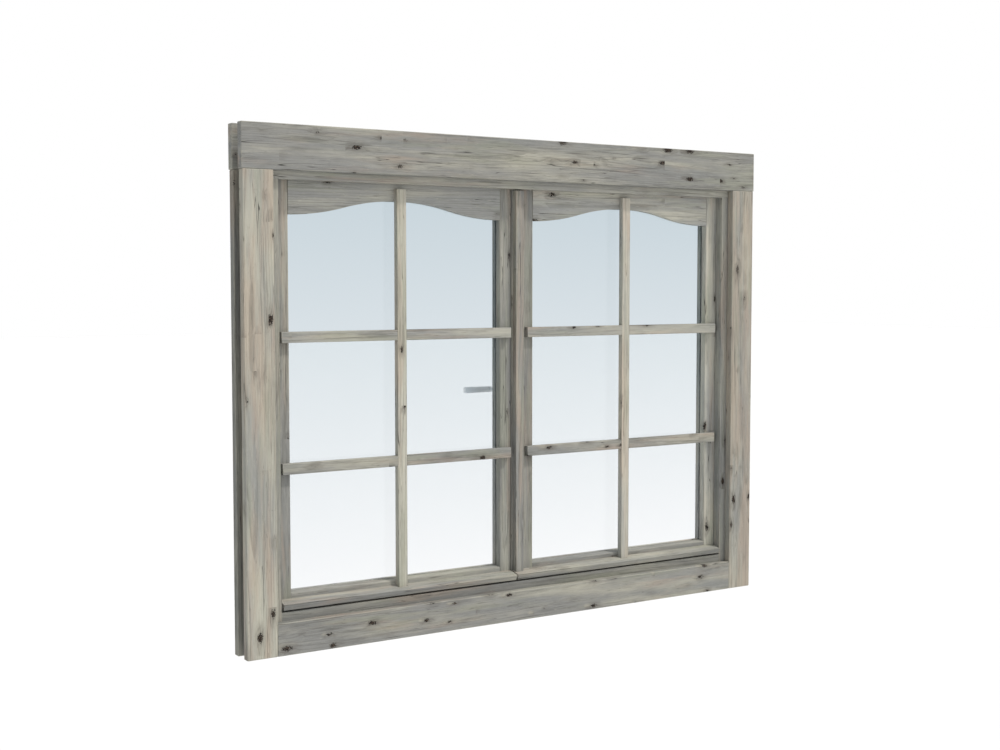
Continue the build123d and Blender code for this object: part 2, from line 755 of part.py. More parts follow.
# ---------------------------------------------------------------- handle on the left leaf
with BuildPart() as handle_rosette:
    with BuildSketch(Plane.XZ.offset(-y_leaf_in)):
        with Locations((SPINDLE_X, SPINDLE_Z)):
            SlotOverall(ROSETTE[1], ROSETTE[0], rotation=90)
    extrude(amount=-ROSETTE[2])
    fillet(handle_rosette.faces().sort_by(Axis.Y)[-1].edges(), ROSETTE_ROUND)
    rod_along(
        (0, 1, 0),
        (SPINDLE_X, y_leaf_in - PAST, SPINDLE_Z),
        NECK_R + SLIDE_PLAY,
        ROSETTE[2] + 2 * PAST,
        mode=Mode.SUBTRACT,
    )
    cut_screws(rosette_screws)
save(handle_rosette, "handle_rosette")

y_lever = y_leaf_in + LEVER_REACH
lever_y = (y_lever - LEVER_THICK / 2, y_lever + LEVER_THICK / 2)
with BuildPart() as handle_lever:
    with BuildSketch(Plane.XZ.offset(-lever_y[0])):
        with BuildLine():
            Polyline(
                (SPINDLE_X, SPINDLE_Z + LEVER_HEIGHT / 2 - LEVER_TAPER),
                (SPINDLE_X - LEVER_LENGTH, SPINDLE_Z + LEVER_HEIGHT / 2 + LEVER_TAPER),
                (SPINDLE_X - LEVER_LENGTH, SPINDLE_Z - LEVER_HEIGHT / 2 - LEVER_TAPER),
                (SPINDLE_X, SPINDLE_Z - LEVER_HEIGHT / 2 + LEVER_TAPER),
                close=True,
            )
        make_face()
        with Locations((SPINDLE_X, SPINDLE_Z)):
            Circle(LEVER_HEIGHT / 2 - LEVER_TAPER)
    extrude(amount=-LEVER_THICK)
    free_end = handle_lever.edges().filter_by(Axis.Y).group_by(Axis.X)[0]
    fillet(free_end, LEVER_END_ROUND)
    fillet(handle_lever.faces().sort_by(Axis.Y)[-1].edges(), LEVER_BACK_ROUND)
    fillet(handle_lever.faces().sort_by(Axis.Y)[0].edges(), LEVER_FRONT_ROUND)
    neck_foot = (SPINDLE_X, y_leaf_in + NECK_GAP, SPINDLE_Z)
    rod_along((0, 1, 0), neck_foot, NECK_R, lever_y[0] + NECK_SINK - y_leaf_in)
    collar_foot = (SPINDLE_X, y_leaf_in + ROSETTE[2] + COLLAR_GAP, SPINDLE_Z)
    rod_along((0, 1, 0), collar_foot, COLLAR_R, COLLAR_HEIGHT)
    block(
        (SPINDLE_X - SPINDLE / 2, SPINDLE_X + SPINDLE / 2),
        (y_leaf_in, y_leaf_in + SPINDLE_REACH),
        (SPINDLE_Z - SPINDLE / 2, SPINDLE_Z + SPINDLE / 2),
        mode=Mode.SUBTRACT,
    )
save(handle_lever, "handle_lever")

with BuildPart() as handle_spindle:
    block(
        (SPINDLE_X - SPINDLE / 2, SPINDLE_X + SPINDLE / 2),
        (case_y[0], y_leaf_in + SPINDLE_REACH),
        (SPINDLE_Z - SPINDLE / 2, SPINDLE_Z + SPINDLE / 2),
    )
save(handle_spindle, "handle_spindle")


# ---------------------------------------------------------------- bolts on the right leaf
GUIDE_PLATE = (24.0, 1.5, 92.0)
GUIDE_LOOP = 10.0  # height of a loop round the bolt
GUIDE_LOOP_HALF = 7.0  # half its width
GUIDE_WALL = 2.0
GUIDE_ROUND = 3.0
GUIDE_INSET = 4.0  # guide from the leaf's end
GUIDE_SCREW = (1.4, 14.0)
GUIDE_SCREW_INSET = 24.0  # screws from the guide's end
GUIDE_SCREW_X = 8.0
BOLT_CHAMFER = 0.8
KNOB_STEM = (2.5, 16.0)  # radius and length from the bolt's axis
KNOB = (4.5, 6.0)  # radius and length
KNOB_START = 12.0  # knob from the bolt's axis
KNOB_ROUND = 1.5
guide_heights = (z_leaf_high - GUIDE_INSET - GUIDE_PLATE[2], z_leaf_low + GUIDE_INSET)
bolt_feet = (z_leaf_high - BOLT_SET_BACK - BOLT_LENGTH, z_leaf_low + BOLT_SET_BACK)
knob_heights = [
    z + GUIDE_PLATE[2] / 2 - way * BOLT_THROW / 2 for z, way in zip(guide_heights, (1, -1))
]
guide_screws = [
    (
        [
            (BOLT_X + shift, y_leaf_in + GUIDE_PLATE[1], z + rise)
            for z in guide_heights
            for rise in (GUIDE_SCREW_INSET, GUIDE_PLATE[2] - GUIDE_SCREW_INSET)
            for shift in (-GUIDE_SCREW_X, GUIDE_SCREW_X)
        ],
        (0, -1, 0),
        *GUIDE_SCREW,
    )
]
with BuildPart() as bolt_guides:
    for z in guide_heights:
        block(
            (BOLT_X - GUIDE_PLATE[0] / 2, BOLT_X + GUIDE_PLATE[0] / 2),
            (y_leaf_in, y_leaf_in + GUIDE_PLATE[1]),
            (z, z + GUIDE_PLATE[2]),
        )
        for low in (z, z + GUIDE_PLATE[2] - GUIDE_LOOP):
            block(
                (BOLT_X - GUIDE_LOOP_HALF, BOLT_X + GUIDE_LOOP_HALF),
                (y_leaf_in, y_bolt + BOLT_R + GUIDE_WALL),
                (low, low + GUIDE_LOOP),
            )
    fillet(bolt_guides.edges().filter_by(Axis.Z).group_by(Axis.Y)[-1], GUIDE_ROUND)
    for z in guide_heights:
        rod_along(
            (0, 0, 1),
            (BOLT_X, y_bolt, z - PAST),
            BOLT_R + SLIDE_PLAY,
            GUIDE_PLATE[2] + 2 * PAST,
            mode=Mode.SUBTRACT,
        )
    cut_screws(guide_screws)
save(bolt_guides, "bolt_guides")

for foot, knob, label in zip(bolt_feet, knob_heights, ("bolt_top", "bolt_bottom")):
    with BuildPart() as bolt:
        rod_along((0, 0, 1), (BOLT_X, y_bolt, foot), BOLT_R, BOLT_LENGTH)
        chamfer(bolt.edges().filter_by(GeomType.CIRCLE), BOLT_CHAMFER)
        rod_along((0, 1, 0), (BOLT_X, y_bolt, knob), *KNOB_STEM)
        rod_along((0, 1, 0), (BOLT_X, y_bolt + KNOB_START, knob), *KNOB)
        fillet(bolt.faces().sort_by(Axis.Y)[-1].edges(), KNOB_ROUND)
    save(bolt, label)


# ---------------------------------------------------------------- leaves
y_tenon = (y_leaf + TENON_SET_BACK, y_leaf + TENON_SET_BACK + TENON_THICK)
z_tenons = (z_leaf_low + TENON_INSET, z_leaf_high - TENON_INSET - TENON_HEIGHT)


def build_stile(label, outer, sight, side_in, cut, splay=0.0, splay_depth=LEAF_THICK):
    """A stile: tongue to the sight line, rebated for the glass on the room side.

    side_in is the direction of the glass, +1 or -1 in X. A splay tapers the outer edge over
    splay_depth towards the room, so that the leaf clears its neighbour.
    """
    wall = sight - side_in * GLASS_REBATE
    section = [
        (outer, y_leaf),
        (sight - side_in * SIGHT_EASE, y_leaf),
        (sight, y_leaf + SIGHT_EASE),
        (sight, y_tongue),
        (wall, y_tongue),
        (wall, y_leaf_in),
        (outer + side_in * splay, y_leaf_in),
    ]
    if splay and splay_depth < LEAF_THICK:
        section.append((outer, y_leaf_in - splay_depth))
    with BuildPart() as stile:
        extrude(
            outline(Plane.XY.offset(z_leaf_low), section), amount=z_leaf_high - z_leaf_low
        )
        for z in z_tenons:
            mortise = (sight + side_in, wall - side_in * (TENON_LENGTH - GLASS_REBATE))
            block(
                mortise,
                (y_tenon[0] - TENON_FIT, y_tenon[1] + TENON_FIT),
                (z - TENON_FIT, z + TENON_HEIGHT + TENON_FIT),
                mode=Mode.SUBTRACT,
            )
        cut()
    save(stile, label)


def rail_tenons(spans, z):
    """Stub tenons past both sight lines."""
    for sight, side_in in spans:
        block(
            (sight, sight - side_in * (TENON_LENGTH - TENON_FIT)),
            y_tenon,
            (z, z + TENON_HEIGHT),
        )


def build_top_rail(label, left, right):
    """Top rail whose front tongue is cut to a double-curved arch."""
    middle = (left + right) / 2
    quarter = (right - left) / 4
    z_turn = (z_arch_end + z_arch_crown) / 2
    with BuildPart() as rail:
        with BuildSketch(Plane.XZ.offset(-y_leaf)):
            with BuildLine():
                TangentArc((left, z_arch_end), (left + quarter, z_turn), tangent=(1, 0))
                TangentArc((middle, z_arch_crown), (left + quarter, z_turn), tangent=(-1, 0))
                TangentArc((middle, z_arch_crown), (right - quarter, z_turn), tangent=(1, 0))
                TangentArc((right, z_arch_end), (right - quarter, z_turn), tangent=(-1, 0))
                Polyline(
                    (right, z_arch_end),
                    (right, z_leaf_high),
                    (left, z_leaf_high),
                    (left, z_arch_end),
                )
            make_face()
        extrude(amount=-TONGUE)
        z_wall = z_arch_crown + GLASS_REBATE
        block(
            (left - GLASS_REBATE, right + GLASS_REBATE),
            (y_tongue, y_leaf_in),
            (z_wall, z_leaf_high),
        )
        rail_tenons(((left, 1), (right, -1)), z_tenons[1])
        front = rail.edges().group_by(Axis.Y)[0]
        arch = [edge for edge in front if edge.center().Z < z_arch_crown + PAST]
        chamfer(ShapeList(arch).filter_by(Axis.Z, reverse=True), ARCH_EASE)
    save(rail, label)


def build_bottom_rail(label, left, right):
    """Bottom rail with a weathered top edge, rebated for the glass on the room side."""
    z_front = z_leaf_low + BOTTOM_RAIL
    with BuildPart() as rail:
        extrude(
            outline(
                Plane.YZ.offset(left),
                [
                    (y_leaf, z_leaf_low),
                    (y_leaf, z_front - SIGHT_EASE),
                    (y_leaf + SIGHT_EASE, z_front),
                    (y_tongue, z_sight_low),
                    (y_tongue, z_leaf_low),
                ],
            ),
            amount=right - left,
        )
        block(
            (left - GLASS_REBATE, right + GLASS_REBATE),
            (y_tongue, y_leaf_in),
            (z_leaf_low, z_sight_low - GLASS_REBATE),
        )
        rail_tenons(((left, 1), (right, -1)), z_tenons[0])
    save(rail, label)


def build_drip(label, left, right):
    """Drip bar on the bottom rail: sloping top, raked nose and a throat underneath."""
    y_nose = y_leaf - DRIP_REACH
    with BuildPart() as drip:
        extrude(
            outline(
                Plane.YZ.offset(left),
                [
                    (y_leaf, DRIP_BOTTOM),
                    (y_leaf, DRIP_TOP),
                    (y_nose, DRIP_NOSE_TOP),
                    (y_nose + DRIP_RAKE, DRIP_BOTTOM),
                ],
            ),
            amount=right - left,
        )
        nose = drip.edges().filter_by(Axis.X).group_by(Axis.Y)[0]
        fillet(nose, NOSE_ROUND)
        rod_along(
            (1, 0, 0),
            (left, y_nose + DRIP_RAKE + THROAT_INSET, DRIP_BOTTOM),
            THROAT_R,
            right - left,
            mode=Mode.SUBTRACT,
        )
    save(drip, label)


def build_glazing(hand, left, right):
    """Pane, sealing tape in front of it and the four beads behind it."""
    low = z_sight_low
    high = z_arch_crown
    with BuildPart() as pane:
        block(
            (left - GLASS_LAP, right + GLASS_LAP),
            (y_glass, y_bead),
            (low - GLASS_LAP, high + GLASS_LAP),
        )
    save(pane, f"{hand}_pane")

    with BuildPart() as tape:
        block(
            (left - TAPE_LAP, right + TAPE_LAP),
            (y_tongue, y_glass),
            (low - TAPE_LAP, high + TAPE_LAP),
        )
        block(
            (left - TAPE_SET_BACK, right + TAPE_SET_BACK),
            (y_tongue - PAST, y_glass + PAST),
            (low - TAPE_SET_BACK, high + TAPE_SET_BACK),
            mode=Mode.SUBTRACT,
        )
    save(tape, f"{hand}_glazing_tape")

    y_bead_in = y_leaf_in + BEAD_PROUD
    with BuildPart() as beads:
        for width, y_back in ((GLASS_REBATE, y_leaf_in), (BEAD_NOSING, y_bead_in)):
            block((left - width, right + width), (y_bead, y_back), (low - width, high + width))
        block((left, right), (y_bead - PAST, y_bead_in + PAST), (low, high), mode=Mode.SUBTRACT)
        chamfer(beads.faces().sort_by(Axis.Y)[-1].inner_wires()[0].edges(), BEAD_EASE)
        for x, across in ((left, -1), (right, 1)):
            for z, up in ((low, -1), (high, 1)):
                corner = (
                    x + across * GLASS_REBATE / 2,
                    (y_bead + y_bead_in) / 2,
                    z + up * GLASS_REBATE / 2,
                )
                with Locations(Location(corner, (0, across * up * 45, 0))):
                    Box(MITRE_GAP, LEAF_THICK, 2 * GLASS_REBATE, mode=Mode.SUBTRACT)
    save(beads, f"{hand}_glazing_beads")


def scribe_foot(x_low, x_high):
    """Cuts a bar's foot to the slope of the drip bar's top."""
    z_foot = DRIP_TOP + FOOT_GAP
    fall = (DRIP_TOP - DRIP_NOSE_TOP) / DRIP_REACH
    reach = BAR_THICK + PAST
    extrude(
        outline(
            Plane.YZ.offset(x_low - PAST),
            [
                (y_leaf + PAST, z_foot + fall * PAST),
                (y_leaf - reach, z_foot - fall * reach),
                (y_leaf - reach, DRIP_BOTTOM),
                (y_leaf + PAST, DRIP_BOTTOM),
            ],
        ),
        amount=x_high - x_low + 2 * PAST,
        mode=Mode.SUBTRACT,
    )


def build_bars(hand, side):
    """One vertical bar halved over two horizontal bars, flush in front."""
    middle = side * leaf_middle
    y_half = y_leaf - BAR_THICK / 2
    with BuildPart() as vertical:
        span = (middle - BAR_WIDTH / 2, middle + BAR_WIDTH / 2)
        block(span, (y_bar, y_leaf), (DRIP_NOSE_TOP, BAR_TOP))
        fillet(vertical.edges().group_by(Axis.Y)[0], BAR_ROUND)
        scribe_foot(*span)
        for z in BAR_HEIGHTS:
            block(
                (middle - BAR_WIDTH, middle + BAR_WIDTH),
                (y_half, y_leaf + PAST),
                (z - BAR_WIDTH / 2, z + BAR_WIDTH / 2),
                mode=Mode.SUBTRACT,
            )
    save(vertical, f"{hand}_bar_vertical")

    ends = (side * (SIGHT_MEETING - BAR_LAP), side * (sight_hinge + BAR_LAP))
    for z, place in zip(BAR_HEIGHTS, ("upper", "lower")):
        with BuildPart() as bar:
            block(ends, (y_bar, y_leaf), (z - BAR_WIDTH / 2, z + BAR_WIDTH / 2))
            fillet(bar.edges().group_by(Axis.Y)[0], BAR_ROUND)
            block(
                (middle - BAR_WIDTH / 2, middle + BAR_WIDTH / 2),
                (y_bar - PAST, y_half),
                (z - BAR_WIDTH, z + BAR_WIDTH),
                mode=Mode.SUBTRACT,
            )
        save(bar, f"{hand}_bar_{place}")


def lock_pocket():
    """Mortise for the lock case, rod channel and faceplate recess in the left meeting stile."""
    block(case_x, case_y, (z_gear_low, z_gear_high), mode=Mode.SUBTRACT)
    block(channel_x, channel_y, (z_leaf_low, z_leaf_high), mode=Mode.SUBTRACT)
    block((x_edge - FACEPLATE, x_edge), plate_y, (z_leaf_low, z_leaf_high), mode=Mode.SUBTRACT)
    rod_along(
        (0, 1, 0), (SPINDLE_X, GEAR_Y, SPINDLE_Z), SPINDLE_HOLE_R, LEAF_THICK, mode=Mode.SUBTRACT
    )
    cut_screws(faceplate_screws + rosette_screws)


left_hinge_screws = leaf_hinge_screws(-1)
right_hinge_screws = leaf_hinge_screws(1)

build_stile(
    "left_hinge_stile", -half_leaf, -sight_hinge, 1, lambda: cut_screws(left_hinge_screws)
)
build_stile(
    "left_meeting_stile",
    MEETING_LEFT,
    -SIGHT_MEETING,
    -1,
    lock_pocket,
    splay=EDGE_SPLAY,
    splay_depth=LEFT_SPLAY_DEPTH,
)
build_stile(
    "right_meeting_stile",
    MEETING_RIGHT,
    SIGHT_MEETING,
    1,
    lambda: cut_screws(guide_screws),
    splay=EDGE_SPLAY,
)
build_stile(
    "right_hinge_stile", half_leaf, sight_hinge, -1, lambda: cut_screws(right_hinge_screws)
)
build_drip("left_drip_bar", -DRIP_HINGE_END, DRIP_LEFT_END)
build_drip("right_drip_bar", DRIP_RIGHT_END, DRIP_HINGE_END)

for hand, side in (("left", -1), ("right", 1)):
    left, right = sorted((side * sight_hinge, side * SIGHT_MEETING))
    build_top_rail(f"{hand}_top_rail", left, right)
    build_bottom_rail(f"{hand}_bottom_rail", left, right)
    build_glazing(hand, left, right)
    build_bars(hand, side)
    with BuildPart() as plates:
        for middle in HINGE_HEIGHTS:
            add(hinge_half(side, middle, 1))
    save(plates, f"{hand}_hinge_plates")

save_screws(left_hinge_screws + faceplate_screws + rosette_screws, "left_leaf_screws")
save_screws(right_hinge_screws + guide_screws, "right_leaf_screws")

ASTRAGAL_TOP_GAP = 3.0  # below the stop of the head
astragal_span = (ASTRAGAL_MIDDLE - ASTRAGAL_WIDTH / 2, ASTRAGAL_MIDDLE + ASTRAGAL_WIDTH / 2)
with BuildPart() as astragal:
    block(astragal_span, (y_bar, y_leaf), (DRIP_NOSE_TOP, z_head_stop - ASTRAGAL_TOP_GAP))
    fillet(astragal.edges().group_by(Axis.Y)[0], BAR_ROUND)
    scribe_foot(*astragal_span)
save(astragal, "astragal")
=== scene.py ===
import json
import math
import random
from typing import NamedTuple

import bmesh
import bpy
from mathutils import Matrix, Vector

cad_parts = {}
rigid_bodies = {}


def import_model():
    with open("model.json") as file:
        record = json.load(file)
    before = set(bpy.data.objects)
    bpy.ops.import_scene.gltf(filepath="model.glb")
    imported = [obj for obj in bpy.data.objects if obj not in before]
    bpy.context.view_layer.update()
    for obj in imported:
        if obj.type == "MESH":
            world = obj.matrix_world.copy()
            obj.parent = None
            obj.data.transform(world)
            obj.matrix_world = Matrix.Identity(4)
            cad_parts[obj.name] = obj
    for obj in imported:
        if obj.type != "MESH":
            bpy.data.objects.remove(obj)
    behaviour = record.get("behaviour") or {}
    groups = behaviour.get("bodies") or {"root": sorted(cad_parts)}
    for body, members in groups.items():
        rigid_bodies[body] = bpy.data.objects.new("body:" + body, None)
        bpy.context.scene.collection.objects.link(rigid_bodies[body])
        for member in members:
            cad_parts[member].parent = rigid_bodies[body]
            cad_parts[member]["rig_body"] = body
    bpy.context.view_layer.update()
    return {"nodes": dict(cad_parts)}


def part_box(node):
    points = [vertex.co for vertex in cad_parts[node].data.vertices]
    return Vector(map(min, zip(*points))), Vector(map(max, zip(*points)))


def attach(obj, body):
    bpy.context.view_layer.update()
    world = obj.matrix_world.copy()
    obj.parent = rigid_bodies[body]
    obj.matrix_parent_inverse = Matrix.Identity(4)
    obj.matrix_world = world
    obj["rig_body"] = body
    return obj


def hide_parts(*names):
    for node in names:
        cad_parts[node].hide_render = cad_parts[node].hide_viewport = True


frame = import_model()
nodes = frame["nodes"]

# ---------------------------------------------------------------- camera and light
CAMERA_PLACE = (-1.7678, -2.6444, 0.6992)
CAMERA_YAW = 33.03
CAMERA_PITCH = -3.618
CAMERA_LENS = 52.16
CAMERA_SENSOR = 36.0
CAMERA_REACH = 200.0
KEY_FROM = Vector((0.40, -0.39, 0.83))
KEY_STRENGTH = 2.35
KEY_COLOR = (1.0, 0.965, 0.905)
KEY_SPREAD = math.radians(5.0)
SKY_STRENGTH = 1.0
SKY_SIDE = (0.47, 0.51, 0.53, 1.0)  # the studio's unlit side, to the left of the outside face
SKY_OPEN = (1.0, 1.0, 1.0, 1.0)
SKY_TURN = (-0.9, 0.0)  # the sky goes from one to the other between these, from left to right
FLOOR_COLOR = (0.68, 0.685, 0.695, 1.0)
FLOOR_ROUGHNESS = 0.9
FLOOR_Z = -0.90
FLOOR_HALF = 40.0


def srgb(red, green, blue):
    """Linear colour of an 8-bit display colour."""
    channels = []
    for value in (red, green, blue):
        share = value / 255
        if share <= 0.04045:
            channels.append(share / 12.92)
        else:
            channels.append(((share + 0.055) / 1.055) ** 2.4)
    return (*channels, 1.0)


def scaled(color, factor):
    """A linear colour made darker or lighter."""
    return (*[c * factor for c in color[:3]], 1.0)


def build_camera():
    data = bpy.data.cameras.new("camera")
    data.lens = CAMERA_LENS
    data.sensor_width = CAMERA_SENSOR
    data.clip_end = CAMERA_REACH
    camera = bpy.data.objects.new("camera", data)
    bpy.context.scene.collection.objects.link(camera)
    camera.location = CAMERA_PLACE
    camera.rotation_euler = (
        math.radians(90.0 + CAMERA_PITCH),
        0.0,
        -math.radians(CAMERA_YAW),
    )
    bpy.context.scene.camera = camera


def build_light():
    bpy.context.scene.view_settings.view_transform = "Standard"
    world = bpy.data.worlds.new("studio")
    bpy.context.scene.world = world
    world.use_nodes = True
    background = world.node_tree.nodes["Background"]
    g = Graph(world.node_tree)
    x, _, _ = g.split(g.node("ShaderNodeTexCoord").outputs["Generated"])
    g.feed(background.inputs["Color"], g.mix(g.span(x, *SKY_TURN), SKY_SIDE, SKY_OPEN))
    background.inputs["Strength"].default_value = SKY_STRENGTH
    sun = bpy.data.lights.new("key", "SUN")
    sun.energy = KEY_STRENGTH
    sun.color = KEY_COLOR
    sun.angle = KEY_SPREAD
    key = bpy.data.objects.new("key", sun)
    bpy.context.scene.collection.objects.link(key)
    key.rotation_euler = (-KEY_FROM).to_track_quat("-Z", "Y").to_euler()


def build_floor():
    mesh = bpy.data.meshes.new("floor")
    h = FLOOR_HALF
    mesh.from_pydata(
        [(-h, -h, FLOOR_Z), (h, -h, FLOOR_Z), (h, h, FLOOR_Z), (-h, h, FLOOR_Z)],
        [],
        [(0, 1, 2, 3)],
    )
    floor = bpy.data.objects.new("floor", mesh)
    bpy.context.scene.collection.objects.link(floor)
    material = bpy.data.materials.new("floor")
    material.use_nodes = True
    shader = material.node_tree.nodes["Principled BSDF"]
    shader.inputs["Base Color"].default_value = FLOOR_COLOR
    shader.inputs["Roughness"].default_value = FLOOR_ROUGHNESS
    mesh.materials.append(material)


# ---------------------------------------------------------------- node helpers
class Pattern(NamedTuple):
    """A noise, in a board's own directions or in an object's."""

    stretch: tuple  # how fast it changes in each direction, per metre
    detail: float = 2.0
    roughness: float = 0.5
    shift: float = 0.0  # it is read this far along, so that two patterns don't follow each other


class Patch(NamedTuple):
    """A tint that lies over the wood in patches."""

    pattern: Pattern
    edge: tuple  # noise where a patch starts and where it is full
    share: float  # how much of the wood's colour it covers where it is full
    tint: tuple


class Stain(NamedTuple):
    """An oval mark beside each knot, in the knot's radii."""

    centre: tuple  # along and across the board, from the knot's middle
    reach: tuple  # along, across and into the board


class Graph:
    """Short calls for building a shader node tree."""

    def __init__(self, tree):
        self.tree = tree

    def node(self, kind, **settings):
        made = self.tree.nodes.new(kind)
        for key, value in settings.items():
            setattr(made, key, value)
        return made

    def feed(self, socket, value):
        if isinstance(value, bpy.types.NodeSocket):
            self.tree.links.new(value, socket)
        else:
            socket.default_value = value

    def math(self, operation, a, b=0.0, c=0.0):
        made = self.node("ShaderNodeMath", operation=operation)
        for socket, value in zip(made.inputs, (a, b, c)):
            self.feed(socket, value)
        return made.outputs[0]

    def vector(self, operation, a, b=(0.0, 0.0, 0.0)):
        made = self.node("ShaderNodeVectorMath", operation=operation)
        self.feed(made.inputs[0], a)
        self.feed(made.inputs[1], b)
        return made.outputs["Value" if operation == "LENGTH" else "Vector"]

    def split(self, vector):
        made = self.node("ShaderNodeSeparateXYZ")
        self.feed(made.inputs[0], vector)
        return made.outputs

    def join(self, x, y, z):
        made = self.node("ShaderNodeCombineXYZ")
        for socket, value in zip(made.inputs, (x, y, z)):
            self.feed(socket, value)
        return made.outputs[0]

    def noise(self, place, pattern):
        """A pattern's value at a place, from 0 to 1."""
        if pattern.shift:
            place = self.vector("ADD", place, (pattern.shift, 0.0, 0.0))
        made = self.node("ShaderNodeTexNoise")
        self.feed(made.inputs["Vector"], self.vector("MULTIPLY", place, pattern.stretch))
        made.inputs["Scale"].default_value = 1.0
        made.inputs["Detail"].default_value = pattern.detail
        made.inputs["Roughness"].default_value = pattern.roughness
        return made.outputs[0]

    def sway(self, place, pattern):
        """A pattern's value at a place, to both sides of zero."""
        return self.math("SUBTRACT", self.noise(place, pattern), 0.5)

    def span(self, value, low, high, to_low=0.0, to_high=1.0):
        """Smooth step of a value from one range to another."""
        made = self.node("ShaderNodeMapRange", interpolation_type="SMOOTHSTEP")
        for socket, number in zip(made.inputs, (value, low, high, to_low, to_high)):
            self.feed(socket, number)
        return made.outputs[0]

    def bell(self, value, width):
        """Bell curve of a value round zero."""
        ratio = self.math("DIVIDE", value, width)
        square = self.math("MULTIPLY", ratio, ratio)
        return self.math("EXPONENT", self.math("MULTIPLY", square, -1.0))

    def mix(self, share, a, b, blend="MIX"):
        made = self.node("ShaderNodeMix", data_type="RGBA", blend_type=blend)
        self.feed(made.inputs[0], share)
        self.feed(made.inputs[6], a)
        self.feed(made.inputs[7], b)
        return made.outputs[2]

    def toned(self, color, tone):
        """A colour made darker or lighter by a value."""
        return self.mix(1.0, color, self.join(tone, tone, tone), "MULTIPLY")

    def cover(self, color, amount, share, tint):
        """A colour with some of a tint over it."""
        return self.mix(self.math("MULTIPLY", amount, share), color, tint)

    def bump(self, height, strength, depth):
        """Normals of a surface with relief; depth in metres."""
        made = self.node("ShaderNodeBump")
        made.inputs["Strength"].default_value = strength
        made.inputs["Distance"].default_value = depth
        self.feed(made.inputs["Height"], height)
        return made.outputs["Normal"]


def new_material(name):
    """A material with nodes, its graph and its Principled shader."""
    material = bpy.data.materials.new(name)
    material.use_nodes = True
    return material, Graph(material.node_tree), material.node_tree.nodes["Principled BSDF"]


# ---------------------------------------------------------------- weathered pine
ALBEDO = 0.69  # display colours below are as lit; this takes them to surface colours
GREY = scaled(srgb(154, 154, 151), ALBEDO)
PALE = scaled(srgb(191, 188, 174), ALBEDO)
PINK = scaled(srgb(187, 167, 149), ALBEDO)
OLIVE = scaled(srgb(162, 164, 146), ALBEDO)
BLUE = scaled(srgb(146, 151, 148), ALBEDO)
DARK = scaled(srgb(92, 91, 84), ALBEDO)
CRACK = scaled(srgb(46, 43, 40), ALBEDO)
HALO = scaled(srgb(104, 98, 90), ALBEDO)
CORE = scaled(srgb(24, 21, 20), ALBEDO)
BARK = scaled(srgb(84, 70, 58), ALBEDO)

# Knots. Distances between them are in cells, marks round them in the knot's radii.
KNOT_CELL = (0.060, 0.030, 0.050)  # spacing of knots along, across and into the board, in metres
KNOT_OUTLINE = Pattern((90, 170, 60))
KNOT_WAVER = (0.16, 0.18)  # how far the outline wavers along and across
KNOT_TORN = Pattern((330, 460, 330), 3.0, 0.6, 2.3)
KNOT_TEAR = 2.2  # how deep the rim is torn
KNOT_RIM = (1.05, 0.70)  # the core fades in from the first to the second
KNOT_APART = (0.04, 0.32)  # a knot fades out where the next one is about as near
KNOT_RADIUS = 0.080  # of the thinnest
KNOT_GROWTH = 0.150  # what the thickest has more
KNOT_THIN = 1.6  # above 1, thin knots are commoner than thick ones
KNOT_CHANCE = 2.2
WHORL = Pattern((7, 1, 1), 1.0)
WHORL_EDGE = (0.44, 0.60)
WHORL_CHANCE = (0.25, 1.6)  # between whorls and in them
HALO_REACH = 1.9
SMUDGE = Stain((-0.6, 0.0), (2.6, 1.3, 1.4))
SMUDGE_GRAIN = Pattern((45, 420, 420), 3.0, 0.65, 4.1)
SMUDGE_EDGE = (0.36, 0.62)
TAIL = Stain((-2.0, 0.5), (1.2, 0.8, 1.2))
TAIL_CHANCE = 0.6
HEART_EDGE = (-0.06, 0.10)  # between core and bark inside a knot

# Growth rings, in metres and in shares of a ring.
RING_WIDTH = 0.0034
RING_BEND = Pattern((1.3, 7, 7))
RING_BEND_IN = Pattern((1.1, 5, 9))
RING_BENT = (0.018, 0.030)  # how far the rings stray across and into the board
RING_PUSH = 0.0045  # how far a knot pushes them aside
LATE_RISE = (0.62, 0.90)
LATE_FALL = (1.0, 0.95)
LATE_PATCHES = Pattern((2.6, 30, 30))
LATE_EDGE = (0.36, 0.60)

# Fibres, and thin lines along the grain: drying checks and dark threads.
FINE = Pattern((30, 800, 800), 3.0, 0.7)
STREAK = Pattern((7, 230, 230), 4.0, 0.72)
LINE_PATCHES = Pattern((4.0, 40, 40), shift=1.7)
LINE_EDGE = (0.46, 0.58)
CHECK = Pattern((1.9, 60, 60))
CHECK_WIDTH = (0.0060, 0.0015)  # in noise: where a line starts and where it is full
THREAD = Pattern((3.4, 190, 190))
THREAD_SHIFT = 15.1
THREAD_WIDTH = (0.022, 0.006)

WASH = Pattern((3.0, 26, 26), 4.0, 0.58)
WASH_EDGE = (0.36, 0.70)
ROSY = Patch(Pattern((3.4, 30, 30), 4.0, 0.6, 3.1), (0.50, 0.70), 0.50, PINK)
MOSSY = Patch(Pattern((3.0, 26, 26), 4.0, 0.6, 7.7), (0.52, 0.68), 0.52, OLIVE)
COLD = Patch(Pattern((2.6, 24, 24), 3.0, 0.55, 5.3), (0.48, 0.70), 0.26, BLUE)
DIRT = Patch(Pattern((6.5, 70, 70), 5.0, 0.70, 9.1), (0.53, 0.70), 0.34, DARK)
SCUFF = Patch(Pattern((60, 420, 420), 4.0, 0.66, 11.9), (0.60, 0.72), 0.55, PALE)
SOOT = Patch(Pattern((55, 460, 460), 4.0, 0.68, 13.3), (0.60, 0.72), 0.45, DARK)
WORN = Pattern((18, 90, 90), 3.0)
WORN_EDGE = (0.35, 0.62)

